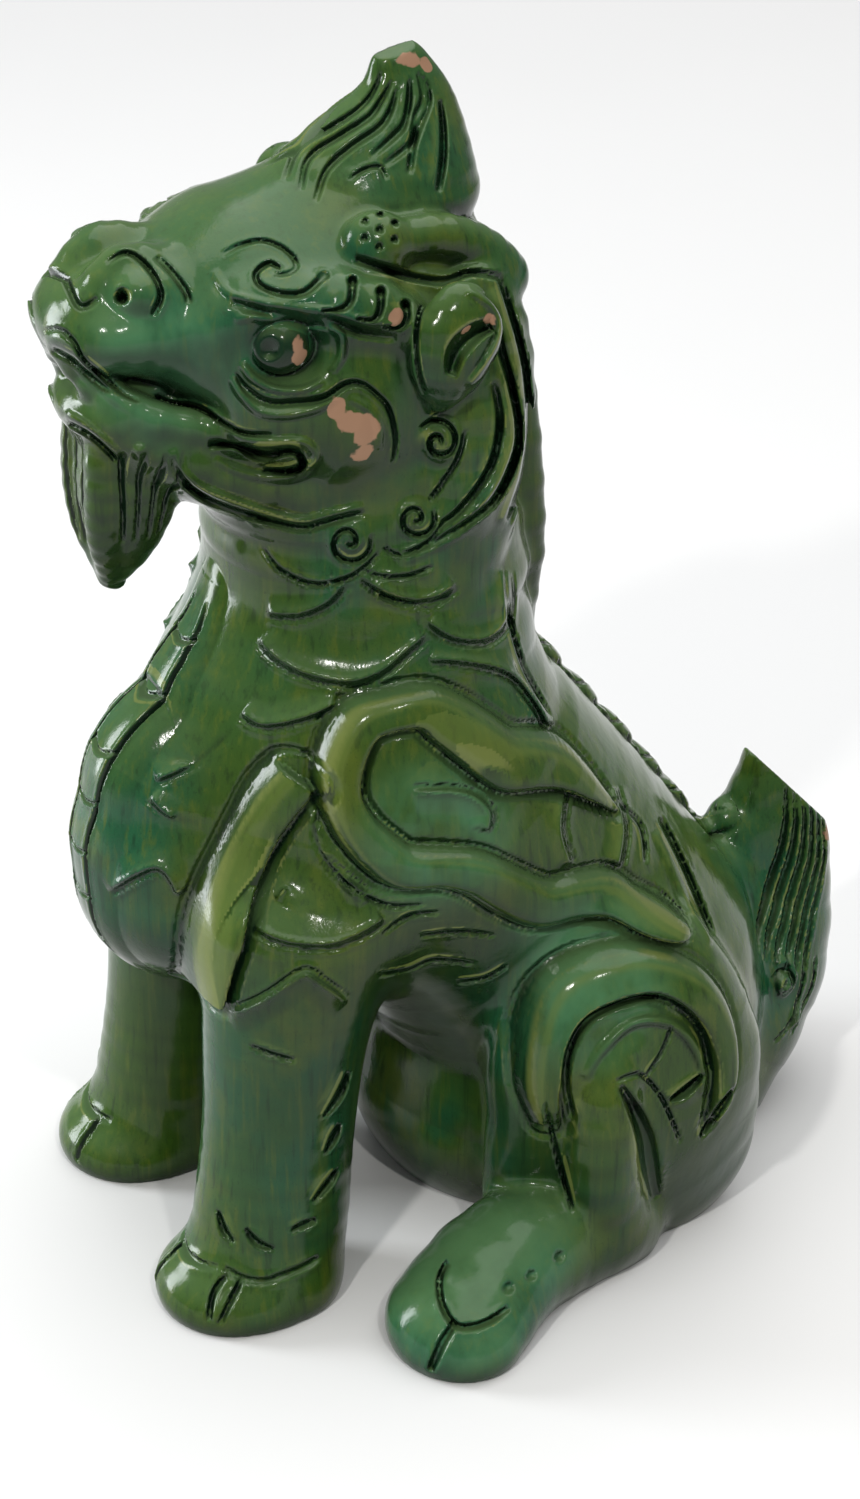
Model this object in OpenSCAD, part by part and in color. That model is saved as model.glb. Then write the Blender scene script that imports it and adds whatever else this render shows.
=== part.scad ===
// Seated guardian lion in glazed earthenware, built up from hand-formed pieces of clay.
// Millimetres, +Z up. The animal faces -Y and its left side is +X.
// Inside the modules y is measured from the line of the ears; placed() moves the
// finished piece so that the origin is the middle of the footprint, on the ground.

/* [Statue] */
// Height from the ground to the tip of the crest
statue_h = 532; // [480:4:580]
// Thickness of the clay wall of the hollow trunk
wall = 13; // [9:1:18]
// How far strips and pads of clay stand proud of the surface under them
relief = 7; // [4:0.5:9]

/* [Body] */
// Width across the chest
chest_w = 200; // [190:2:210]
// Width across the rump, without the haunches
rump_w = 196; // [186:2:206]
// Width of the neck under the jaw
neck_w = 148; // [140:2:154]
// Width of the plated band down the throat and chest
band_w = 62; // [50:2:70]
// Number of plates down each side of the chest band
band_rows = 6; // [4:1:8]
// Number of plates along the spine
spine_rows = 6; // [4:1:8]

/* [Head] */
// Width across the cheeks
head_w = 140; // [132:2:148]
// Width across the muzzle
muzzle_w = 78; // [70:2:84]
// Diameter of the eyeball
eye_d = 36; // [30:1:40]
// Diameter of each curl behind the jaw
curl_d = 34; // [28:1:38]
// Number of strands on each side of the crest
crest_strands = 4; // [3:1:6]
// Number of smooth bands of mane on each side of the neck
mane_strands = 4; // [3:1:5]

/* [Legs] */
// Diameter of a front leg
leg_d = 68; // [62:1:70]
// Width of a front paw
paw_w = 74; // [70:1:80]
// Height of a haunch above the ground
haunch_h = 168; // [160:1:174]
// Width of a hind foot
foot_w = 62; // [56:1:64]

/* [Tail] */
// Width of the tail across its base
tail_w = 62; // [54:2:70]
// Height of the tail above the ground
tail_h = 170; // [160:1:180]

/* [Hidden] */

design_h = 532;          // height at which the sizes below were set
footprint_mid_y = 66.5;  // from the line of the ears back to the middle of the footprint
glaze = [0.16, 0.38, 0.22];
glaze_light = [0.30, 0.50, 0.24];
glaze_dark = [0.07, 0.22, 0.15];
bare_clay = [0.62, 0.50, 0.42];
facets = 12;             // round the large masses
facets_small = 8;        // round strands, toes and other small rolls of clay
big = 600;               // larger than the whole statue

// The value at t, from 0 to 1, of a smooth curve through the rows of p
function curve(p, t) =
    let (n = len(p) - 1, u = min(t * n, n - 0.0001), i = floor(u), f = u - i)
    let (a = p[max(i - 1, 0)], b = p[i], c = p[i + 1], d = p[min(i + 2, n)])
    0.5 * (2 * b + (c - a) * f + (2 * a - 5 * b + 4 * c - d) * f * f
        + (3 * b - a - 3 * c + d) * f * f * f);

// Half the trunk's width at a depth and height: the flank is round about a line that runs
// from the middle of the chest back and down to the loin, and relief lies on it
function flank_x(y, z) =
    let (chest = [2, 215], run = [64, -57])
    let (t = ([y, z] - chest) * run / (run * run), u = min(max(t, 0), 1))
    let (off = [y, z] - chest - u * run)
    chest_w / 2 * sqrt(max(0.05, 1 - pow(off[0] / 110, 2) - pow(off[1] / 94, 2)));

module ball(p, r, f = facets) {
    translate(p) scale(r) sphere(1, $fn = f);
}

// One mass of clay: balls of radii r along a smooth curve through the points p
module mass(p, r, links = 8, f = facets) {
    for (i = [0:links - 1])
        hull() {
            ball(curve(p, i / links), curve(r, i / links), f);
            ball(curve(p, (i + 1) / links), curve(r, (i + 1) / links), f);
        }
}

// A rolled strand of clay with a round section of radius r at each point of p
module strand(p, r, links = 8, f = facets_small) {
    mass(p, [for (v = r) [v, v, v]], links, f);
}

// A flat curl of clay on the side of the head or haunch, wound out from its middle
module curl(centre, d, turns = 1.25, start = 0, links = 9, fat = 0.13) {
    spiral = [for (i = [0:links])
        let (t = i / links, a = start + 360 * turns * t, r = d * (0.08 + 0.30 * t))
        centre + [0, r * cos(a), r * sin(a)]];
    ball(centre, [d * 0.22, d * 0.46, d * 0.46], facets_small);
    strand(spiral, [for (i = [0:links]) d * fat], links, 6);
}

// Keeps what is above the ground
module standing() {
    intersection() {
        children();
        translate([-big / 2, -big / 2, 0]) cube(big);
    }
}

// Moves a piece from the drawing's y to the footprint's, at the chosen height
module placed() {
    scale(statue_h / design_h) translate([0, -footprint_mid_y, 0]) children();
}

// side is 1 for the animal's left and -1 for its right
module on_side(side) {
    if (side > 0) children();
    else mirror([1, 0, 0]) children();
}

// ---- masses that other pieces are laid against ----

module rump_form() {
    mass([[0, 108, 34], [0, 112, 80], [0, 98, 114], [0, 66, 158], [0, 34, 190], [0, 2, 215],
          [0, 10, 255]],
        [[rump_w / 2 - 10, 92, 66], [rump_w / 2, 94, 86], [rump_w / 2, 90, 76],
         [chest_w / 2 - 5, 90, 74], [chest_w / 2 - 2, 94, 80], [chest_w / 2, 112, 86],
         [chest_w / 2 - 8, 80, 58]], 8);
}

module trunk_form() {
    rump_form();
    mass([[0, -4, 206], [0, -34, 166]], [[chest_w / 2 - 4, 108, 80], [84, 78, 56]], 2);
}

module neck_form() {
    mass([[0, 10, 268], [0, 16, 312], [0, 12, 352], [0, 10, 385]],
        [[neck_w / 2 + 12, 78, 40], [neck_w / 2, 68, 34], [neck_w / 2 - 7, 66, 30],
         [neck_w / 2 - 12, 62, 30]], 8);
}

module skull_form() {
    mass([[0, 12, 418], [0, -32, 430], [0, -68, 437], [0, -99, 438]],
        [[head_w / 2 - 6, 60, 57], [head_w / 2 - 9, 44, 50], [muzzle_w / 2 + 3, 28, 30],
         [muzzle_w / 2 - 2, 24, 20]], 9);
    for (s = [-1, 1])
        ball([s * (head_w / 2 - 22), -14, 402], [22, 36, 30]);
}

module jaw_form() {
    mass([[0, -8, 366], [0, -48, 374], [0, -82, 388], [0, -99, 399]],
        [[head_w / 2 - 14, 44, 26], [46, 32, 22], [36, 26, 14], [30, 20, 11]], 6);
}

module leg_form() {
    mass([[57, -38, 176], [58, -47, 130], [60, -52, 84], [62, -57, 34]],
        [[leg_d / 2 + 4, leg_d / 2 + 10, 36], [leg_d / 2 + 1, leg_d / 2 + 2, 30],
         [leg_d / 2 - 2, leg_d / 2 - 1, 28], [leg_d / 2 - 1, leg_d / 2, 26]], 8);
}

module haunch_form() {
    mass([[88, 98, 40], [91, 95, 78], [90, 92, haunch_h - 70]],
        [[28, 64, 56], [36, 64, 70], [34, 59, 70]], 8);
}

module shank_form() {
    mass([[110, 84, 112], [116, 72, 84], [116, 72, 52], [110, 78, 24]],
        [[15, 17, 15], [15, 16, 18], [16, 17, 20], [17, 19, 20]], 8, 10);
}

// ---- body ----

module trunk() {
    color(glaze) placed() standing() difference() {
        trunk_form();
        mass([[0, 114, 60], [0, 102, 108], [0, 68, 158], [0, 30, 196], [0, 6, 226]],
            [[rump_w / 2 - wall - 22, 66, 80],
             [rump_w / 2 - wall, 83 - wall, 84 - wall],
             [chest_w / 2 - wall - 4, 84 - wall, 78 - wall],
             [chest_w / 2 - wall - 2, 92 - wall, 76 - wall],
             [chest_w / 2 - wall - 6, 96 - wall, 76 - wall]], 6, 10);
        translate([0, 112, -1]) scale([1, 1.15, 1]) cylinder(40, r = 50, $fn = facets);
    }
}

module neck() {
    color(glaze) placed() difference() {
        neck_form();
        trunk_form();
    }
}

module chest_plates() {
    centre = [[0, -56, 306], [0, -78, 280], [0, -104, 248], [0, -114, 208], [0, -114, 168],
        [0, -97, 134]];
    inner = 2.5;
    gap = 0.12;
    color(glaze_light) placed() difference() {
        for (s = [-1, 1], i = [0:band_rows - 1])
            hull()
                for (t = [i + gap, i + 1 - gap], x = [inner, band_w / 2]) {
                    c = curve(centre, t / band_rows);
                    sag = 0.0075 * x * x;
                    ball([s * x, c[1] + sag, c[2]], [4, relief - 2, 4], 6);
                }
        trunk_form();
        neck_form();
    }
}

module spine_plates() {
    ridge = [[0, 78, 290], [0, 86, 262], [0, 106, 226], [0, 128, 196], [0, 150, 166],
        [0, 174, 136]];
    color(glaze_light) placed() difference() {
        for (i = [0:spine_rows - 1]) {
            c = curve(ridge, (i + 0.5) / spine_rows);
            hull() {
                ball(c, [20, 10, 10], facets_small);
                ball(c + [0, relief - 3, 6], [7, 6, 7], facets_small);
            }
            hull() {
                ball(c + [0, 1, -2], [22, 9, 9], facets_small);
                ball(c + [0, 3, 12], [12, 6, 6], facets_small);
            }
        }
        trunk_form();
        neck_form();
    }
}

// A ribbon of clay along [y, z] points on the side of the chest, half sunk into it
module ribbon(path, radii, links) {
    sunk = 1 - relief / 13;
    strand([for (i = [0:len(path) - 1])
        [flank_x(path[i][0], path[i][1]) - sunk * radii[i], path[i][0], path[i][1]]],
        radii, links);
}

module shoulder_flame(side) {
    loop = [[88, 224], [62, 244], [32, 268], [4, 280], [-24, 268], [-34, 244], [-16, 222],
        [14, 210], [46, 198], [78, 180], [108, 162]];
    loop_r = [3, 8, 10, 13, 14, 14, 14, 13, 11, 8, 3];
    front = [[-22, 274], [-44, 250], [-64, 222], [-78, 194], [-78, 168]];
    front_r = [9, 13, 13, 12, 7];
    color(glaze_light) placed() on_side(side) difference() {
        union() {
            ribbon(loop, loop_r, 14);
            ribbon(front, front_r, 8);
        }
        trunk_form();
        neck_form();
        haunch_form();
    }
}

// ---- head ----

module skull() {
    color(glaze) placed() difference() {
        skull_form();
        neck_form();
    }
}

module lower_jaw() {
    color(glaze) placed() difference() {
        jaw_form();
        neck_form();
        skull_form();
    }
}

module tongue() {
    color(glaze_dark) placed() difference() {
        union() {
            mass([[0, -66, 406], [0, -92, 410], [0, -108, 416]],
                [[20, 14, 7], [17, 12, 6], [13, 6, 4]], 4, 8);
            strand([[-10, -110, 418], [0, -112, 421], [10, -110, 418]], [4, 5, 4], 4);
        }
        jaw_form();
        skull_form();
    }
}

module upper_teeth() {
    tooth_l = 13;
    color(bare_clay) placed() difference() {
        for (s = [-1, 1]) {
            strand([[s * 27, -94, 428], [s * 28, -96, 420], [s * 27, -99, 428 - tooth_l - 4]],
                [6, 5, 1.5], 4);
            strand([[s * 35, -66, 424], [s * 36, -66, 416], [s * 36, -68, 426 - tooth_l - 4]],
                [5, 4, 1.5], 4);
        }
        skull_form();
        jaw_form();
    }
}

module beard() {
    color(glaze) placed() difference() {
        union() {
            mass([[0, -84, 384], [0, -85, 364], [0, -87, 344], [0, -92, 324]],
                [[28, 24, 12], [24, 23, 14], [15, 16, 14], [4, 5, 4]], 8, 10);
            for (s = [-1, 1], k = [0, 1])
                strand([[s * (8 + 11 * k), -104 + 6 * k, 380], [s * (8 + 9 * k), -105 + 8 * k, 360],
                    [s * (4 + 3 * k), -100 + 4 * k, 338 + 4 * k]], [5, 5, 2], 4, 6);
            strand([[0, -107, 384], [0, -108, 364], [0, -102, 340], [0, -95, 324]],
                [4, 5, 4, 2], 5, 6);
        }
        jaw_form();
        neck_form();
    }
}

module nose() {
    bulb_r = muzzle_w / 6;
    color(glaze) placed() difference() {
        union()
            for (s = [-1, 1]) {
                strand([[s * bulb_r, -76, 457], [s * bulb_r, -89, 457], [s * bulb_r, -99, 449]],
                    [bulb_r - 2, bulb_r, bulb_r - 1], 4, 10);
                strand([[s * 23, -74, 454], [s * 26, -85, 455]], [11, 12], 2, 10);
            }
        skull_form();
        for (s = [-1, 1])
            translate([s * 30, -86, 456]) rotate([0, s * 90, 0])
                cylinder(16, r = 5, $fn = facets_small, center = true);
    }
}

module eye(side) {
    color(glaze_dark) placed() on_side(side) difference() {
        union() {
            mass([[50, -36, 437], [52, -40, 436]], [[12, eye_d / 2, eye_d / 2 - 2],
                [12, eye_d / 2 - 1, eye_d / 2 - 3]], 2);
            for (lid = [-1, 1])
                strand([[54, -62, 431], [60, -48, 436 + lid * 13], [62, -32, 437 + lid * 14],
                    [58, -18, 440]], [3, 4, 4, 3], 4, 6);
        }
        skull_form();
        translate([60, -41, 437]) rotate([0, 90, -14])
            cylinder(20, r = 6, $fn = facets_small, center = true);
    }
}

module brow(side) {
    tufts = 3;
    color(glaze_light) placed() on_side(side) difference() {
        union() {
            strand([[42, -62, 448], [48, -50, 458], [55, -28, 459], [60, -4, 451], [63, 12, 439]],
                [6, 10, 12, 10, 6], 8, 6);
            curl([50, -44, 463], 28, 1.4, 200);
            for (i = [0:tufts - 1])
                strand([[53, -16 + 13 * i, 466 - 7 * i], [59, -9 + 12 * i, 457 - 6 * i],
                    [62, 0 + 11 * i, 446 - 6 * i]], [4, 5, 2], 3, 6);
        }
        skull_form();
    }
}

module ear(side) {
    color(glaze_light) placed() on_side(side) difference() {
        union() {
            mass([[64, 20, 408], [70, 22, 424], [73, 24, 442], [72, 26, 456]],
                [[10, 8, 8], [12, 17, 13], [10, 18, 12], [6, 9, 5]], 6, 10);
            strand([[76, 6, 424], [80, 8, 446], [79, 24, 458], [82, 38, 446], [80, 36, 428]],
                [4, 5, 5, 6, 3], 6, 6);
        }
        translate([88, 24, 434]) scale([1, 1.2, 1.8]) sphere(9, $fn = facets_small);
        skull_form();
        neck_form();
    }
}

module crest() {
    color(glaze) placed() difference() {
        union() {
            mass([[0, 16, 466], [0, 24, 484], [0, 33, 504], [0, 32, 521]],
                [[38, 43, 20], [27, 34, 20], [15, 23, 18], [8, 12, 10]], 8, 10);
            for (s = [-1, 1], i = [0:crest_strands - 1]) {
                u = i / (crest_strands - 1);
                strand([[s * (12 + 20 * sin(180 * u)), -20 + 76 * u, 472 - 6 * u],
                    [s * (11 + 13 * sin(180 * u)), -2 + 54 * u, 487 + u],
                    [s * (7 + 6 * sin(180 * u)), 19 + 29 * u, 506],
                    [s * 4, 28 + 8 * u, 525]], [7, 7, 6, 3], 4, 6);
            }
        }
        skull_form();
        neck_form();
    }
}

module horn(side) {
    dimples = 7;
    hub = [46, 4, 468];
    color(glaze_light) placed() on_side(side) difference() {
        union() {
            ball(hub, [12, 17, 17]);
            strand([[43, 14, 468], [41, 32, 466], [36, 50, 456], [31, 62, 440]],
                [10, 12, 12, 13], 8, 8);
        }
        for (i = [0:dimples - 1]) {
            a = 360 * i / (dimples - 1);
            r = i == dimples - 1 ? 0 : 9.5;
            translate(hub + [11, r * cos(a), r * sin(a)])
                sphere(3.6, $fn = 6);
        }
        skull_form();
        crest_core();
    }
}

// The crest without its strands, which is what the horns lie against
module crest_core() {
    mass([[0, 16, 466], [0, 24, 484]], [[38, 43, 20], [27, 34, 20]], 2);
}

module mane_band(side) {
    color(glaze) placed() on_side(side) difference() {
        for (i = [0:mane_strands - 1]) {
            k = i * 8;
            strand([[58 - 0.6 * k, 38 + 0.8 * k, 448], [64 - 0.8 * k, 46 + 0.9 * k, 420],
                [68 - 0.8 * k, 44 + 0.9 * k, 385 - 0.2 * k], [70 - 0.6 * k, 36 + 0.9 * k, 352 - 0.6 * k],
                [71, 12 + 0.7 * k, 330 - 0.8 * k], [62, -18 + 0.3 * k, 326 - 0.8 * k]],
                [4, 7, 8, 9, 9, 4], 8, 6);
        }
        neck_form();
        skull_form();
        trunk_form();
    }
}

module nape_mane() {
    color(glaze) placed() difference() {
        for (s = [-2:2])
            strand([[s * 11, 58, 452], [s * 12, 66, 424], [s * 13, 71, 384], [s * 13, 74, 345],
                [s * 12, 78, 310], [s * 9, 86, 278]], [6, 9, 10, 11, 11, 4], 7, 6);
        neck_form();
        skull_form();
        trunk_form();
    }
}

module cheek_curls(side) {
    color(glaze_light) placed() on_side(side) difference() {
        union() {
            curl([63, 20, 388], curl_d, 1.25, 30);
            curl([64, 4, 360], curl_d, 1.25, 90);
            curl([56, -24, 354], curl_d, 1.25, 150);
        }
        neck_form();
        skull_form();
        jaw_form();
    }
}

// ---- legs ----

module front_leg(side) {
    color(glaze) placed() on_side(side) difference() {
        leg_form();
        trunk_form();
        paw_form();
    }
}

module paw_form() {
    mass([[64, -56, 8], [66, -69, 8], [67, -76, 7]],
        [[paw_w / 2 - 3, 30, 24], [paw_w / 2, 33, 24], [paw_w / 2 - 2, 31, 20]], 4);
}

module front_paw(side) {
    toes = 3;
    color(glaze) placed() on_side(side) standing() union() {
        paw_form();
        for (i = [0:toes - 1]) {
            x = 66 + (i - 1) * paw_w * 0.26;
            strand([[x, -66, 14], [x, -88, 11], [x, -96, 6]], [12, 12, 9], 3);
        }
    }
}

module haunch(side) {
    color(glaze) placed() on_side(side) standing() difference() {
        haunch_form();
        trunk_form();
    }
}

module haunch_ring(side) {
    arc_from = -35;
    arc_to = 205;
    steps = 12;
    ring = [for (i = [0:steps])
        let (a = arc_from + (arc_to - arc_from) * i / steps)
        [110 - 6 * cos(2 * a), 92 + 50 * cos(a), 96 + 58 * sin(a)]];
    color(glaze_light) placed() on_side(side) difference() {
        strand(ring, [for (i = [0:steps]) 5 + relief * sin(180 * i / steps)], steps, 10);
        haunch_form();
        trunk_form();
        shank_form();
        foot_form();
    }
}

module shank(side) {
    color(glaze) placed() on_side(side) difference() {
        shank_form();
        haunch_form();
        foot_form();
    }
}

module foot_form() {
    mass([[100, 92, 12], [109, 62, 18], [124, 28, 17], [138, -1, 9]],
        [[17, 18, 22], [22, 24, 26], [foot_w / 2 - 2, 28, 27], [foot_w / 2, 28, 22]], 8);
}

module hind_foot(side) {
    toes = 3;
    color(glaze) placed() on_side(side) standing() difference() {
        union() {
            foot_form();
            for (i = [0:toes - 1]) {
                x = 139 + (i - 1) * foot_w * 0.27;
                strand([[x - 4, 10, 18], [x, -10, 15], [x, -20, 7]], [10, 11, 9], 3, 6);
            }
        }
        haunch_form();
        trunk_form();
    }
}

// ---- tail ----

module tail_form() {
    mass([[0, 172, 30], [0, 203, 62], [0, 223, 100], [0, 224, 134], [0, 215, tail_h]],
        [[tail_w / 2 + 26, 50, 50], [tail_w / 2 + 10, 46, 46], [tail_w / 2 - 3, 27, 34],
         [tail_w / 2 - 9, 19, 26], [12, 11, 12]], 8);
}

module tail() {
    color(glaze) placed() standing() difference() {
        tail_form();
        trunk_form();
        translate([0, 221, tail_h + 20]) rotate([14, 0, 0]) cube([80, 80, 40], center = true);
    }
}

module tail_curls() {
    color(glaze_light) placed() difference() {
        for (s = [-1, 1]) {
            strand([[s * 24, 196, 50], [s * 30, 216, 74], [s * 29, 234, 96], [s * 22, 240, 128]],
                [8, 9, 8, 3], 6, 6);
            strand([[s * 26, 188, 78], [s * 28, 204, 104], [s * 22, 216, 132], [s * 14, 222, 158]],
                [6, 8, 7, 3], 6, 6);
        }
        tail_form();
        trunk_form();
    }
}

module left_eye() { eye(1); }
module right_eye() { eye(-1); }
module left_brow() { brow(1); }
module right_brow() { brow(-1); }
module left_ear() { ear(1); }
module right_ear() { ear(-1); }
module left_horn() { horn(1); }
module right_horn() { horn(-1); }
module left_mane_band() { mane_band(1); }
module right_mane_band() { mane_band(-1); }
module left_cheek_curls() { cheek_curls(1); }
module right_cheek_curls() { cheek_curls(-1); }
module left_shoulder_flame() { shoulder_flame(1); }
module right_shoulder_flame() { shoulder_flame(-1); }
module left_front_leg() { front_leg(1); }
module right_front_leg() { front_leg(-1); }
module left_front_paw() { front_paw(1); }
module right_front_paw() { front_paw(-1); }
module left_haunch() { haunch(1); }
module right_haunch() { haunch(-1); }
module left_haunch_ring() { haunch_ring(1); }
module right_haunch_ring() { haunch_ring(-1); }
module left_shank() { shank(1); }
module right_shank() { shank(-1); }
module left_hind_foot() { hind_foot(1); }
module right_hind_foot() { hind_foot(-1); }

trunk();
neck();
skull();
lower_jaw();
tongue();
upper_teeth();
beard();
nose();
left_eye();
right_eye();
left_brow();
right_brow();
left_ear();
right_ear();
crest();
left_horn();
right_horn();
left_mane_band();
right_mane_band();
nape_mane();
left_cheek_curls();
right_cheek_curls();
chest_plates();
spine_plates();
left_shoulder_flame();
right_shoulder_flame();
left_front_leg();
right_front_leg();
left_front_paw();
right_front_paw();
left_haunch();
right_haunch();
left_haunch_ring();
right_haunch_ring();
left_shank();
right_shank();
left_hind_foot();
right_hind_foot();
tail();
tail_curls();
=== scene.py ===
import math
from concurrent.futures import ThreadPoolExecutor
import bpy
import numpy as np
import openvdb
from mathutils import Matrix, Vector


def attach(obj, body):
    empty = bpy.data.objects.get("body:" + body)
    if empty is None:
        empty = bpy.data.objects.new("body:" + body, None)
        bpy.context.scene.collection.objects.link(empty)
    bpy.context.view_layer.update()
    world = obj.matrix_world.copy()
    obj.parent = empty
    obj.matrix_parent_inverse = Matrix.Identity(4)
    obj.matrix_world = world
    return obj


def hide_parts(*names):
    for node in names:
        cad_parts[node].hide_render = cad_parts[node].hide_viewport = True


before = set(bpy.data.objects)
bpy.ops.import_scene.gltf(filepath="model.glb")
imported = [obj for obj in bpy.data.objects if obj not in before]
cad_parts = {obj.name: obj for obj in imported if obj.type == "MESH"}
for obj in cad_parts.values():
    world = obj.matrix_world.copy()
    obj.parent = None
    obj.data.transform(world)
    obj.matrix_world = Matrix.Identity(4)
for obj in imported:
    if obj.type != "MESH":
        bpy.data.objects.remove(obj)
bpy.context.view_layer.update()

# ---------------------------------------------------------------- sizes, in millimetres
# The statue faces -y. Until a mesh is written, y is measured from the line of the ears, as in
# the CAD drawing. Places on the surface are given on the left side; the right side mirrors it.
FOOT_MID_Y = 66.5       # from the line of the ears back to the middle of the footprint
MM = 0.001
STEP = 1.5   # distance between sculpting samples
FINE = 0.7              # the step on finely tooled pieces, as a part of STEP
FINE_PIECES = ("skull", "nose", "beard", "crest", "lower_jaw", "left_brow", "left_ear", "left_eye",
               "left_horn", "left_cheek_curls", "chest_plates", "tongue", "upper_teeth")
# places where the glaze has chipped off, each with its radius
CHIPS = ((68, -25, 413, 5.5), (69, -20, 406, 7), (70, -14, 400, 6.5), (69, -13, 392, 5.5),
         (64, -38, 439, 5), (64, -37, 433, 5.5), (80, 34, 444, 5), (82, 25, 441, 4),
         (8, 34, 526, 7), (6, 42, 522, 4), (14, 245, 128, 5), (105, -14, 210, 4.5),
         (69, 0, 446, 4))
COARSE = 4              # samples per side of the cells that are skipped away from the surface
FAR = 60.0              # stands for "nowhere near"
MARGIN = 16.0           # how far round a mass its distance is worked out
BAND = 3                # steps of distance kept on each side of the surface
DIVE = 0.7              # slope at which a piece sinks under its neighbour past their seam
SEAM = 0.4              # how far two pieces share one surface past their seam
LAP = 2.4               # how far a piece runs on under its neighbour
BURR = 0.28             # height of the burr along a groove, as a part of the groove's depth
BURR_SPREAD = 2.3       # width of a groove with its burrs, as a part of the groove's width
OUTLINE_AT = 1.4        # from a ribbon's edge to the middle of the groove round it
OUTLINE_WIDTH = 2.4     # half the width of that groove
PROBES = {"recess": 2.5, "hollow": 8.0}     # how far out each kind of hollow is felt for
SHELL = 3.0             # thickness of a strip of clay below the surface that it lies on
CHUNK = 16_000          # points worked on at a time
WORKERS = ThreadPoolExecutor(4)


def base_name(piece):
    """The name without its side."""
    return piece.removeprefix("left_").removeprefix("right_")


# ---------------------------------------------------------------- curves
def curve(rows, count):
    """count rows along a smooth curve through the given rows."""
    p = np.asarray(rows, float)
    last = len(p) - 1
    u = np.linspace(0, last, count)
    i = np.minimum(u.astype(int), last - 1)
    f = (u - i)[:, None]
    a, b = p[np.maximum(i - 1, 0)], p[i]
    c, d = p[i + 1], p[np.minimum(i + 2, last)]
    return 0.5 * (2 * b + (c - a) * f + (2 * a - 5 * b + 4 * c - d) * f ** 2
                  + (3 * b - a - 3 * c + d) * f ** 3)


def smooth_min(a, b, k):
    h = np.maximum(k - np.abs(a - b), 0) / k
    return np.minimum(a, b) - h * h * k / 4


def smooth_step(x, low, high):
    t = np.clip((x - low) / (high - low), 0, 1)
    return t * t * (3 - 2 * t)


# ---------------------------------------------------------------- the field: clay and tool marks
# rightward, upward and outward directions as seen from each side
DRAWN_FROM = {
    "side": ((0, 1, 0), (0, 0, 1), (1, 0, 0)),
    "front": ((1, 0, 0), (0, 0, 1), (0, -1, 0)),
    "back": ((1, 0, 0), (0, 0, 1), (0, 1, 0)),
    # three quarters from the front, and from above
    "quarter": ((0.4226, 0.9063, 0), (-0.4380, 0.2043, 0.8755), (0.7934, -0.3700, 0.4833)),
}
DRAWN_FROM = {view: np.array(axes, float) for view, axes in DRAWN_FROM.items()}


class Mass:
    """Ellipsoids of changing radii run together along a smooth curve."""

    def __init__(self, piece, points, radii, blend=8, links=10, side=1, late=False):
        points = np.asarray(points, float) * [side, 1, 1]
        radii = np.asarray(radii, float)
        if radii.ndim == 1:
            radii = np.repeat(radii[:, None], 3, 1)
        if len(points) == 1:
            points, radii, links = np.repeat(points, 2, 0), np.repeat(radii, 2, 0), 1
        self.piece, self.blend, self.late = piece, blend, late
        self.c = curve(points, links + 1)
        self.r = np.maximum(curve(radii, links + 1), 0.8)
        self.low = (self.c - self.r).min(0) - MARGIN
        self.high = (self.c + self.r).max(0) + MARGIN

    def distance(self, p):
        best = np.full(len(p), FAR)
        x, y, z = p.T
        for a, b, ra, rb in zip(self.c[:-1], self.c[1:], self.r[:-1], self.r[1:]):
            ab = b - a
            t = np.clip((p - a) @ (ab / max(ab @ ab, 1e-9)), 0, 1)
            k0, k1 = 0, 1e-9
            for k, axis in enumerate((x, y, z)):
                r = ra[k] + t * (rb[k] - ra[k])
                s = (axis - a[k] - t * ab[k]) / r
                k0 = k0 + s * s
                s /= r
                k1 = k1 + s * s
            k0 = np.sqrt(k0)
            best = smooth_min(best, k0 * (k0 - 1) / np.sqrt(k1), 2.0)
        return best


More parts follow.
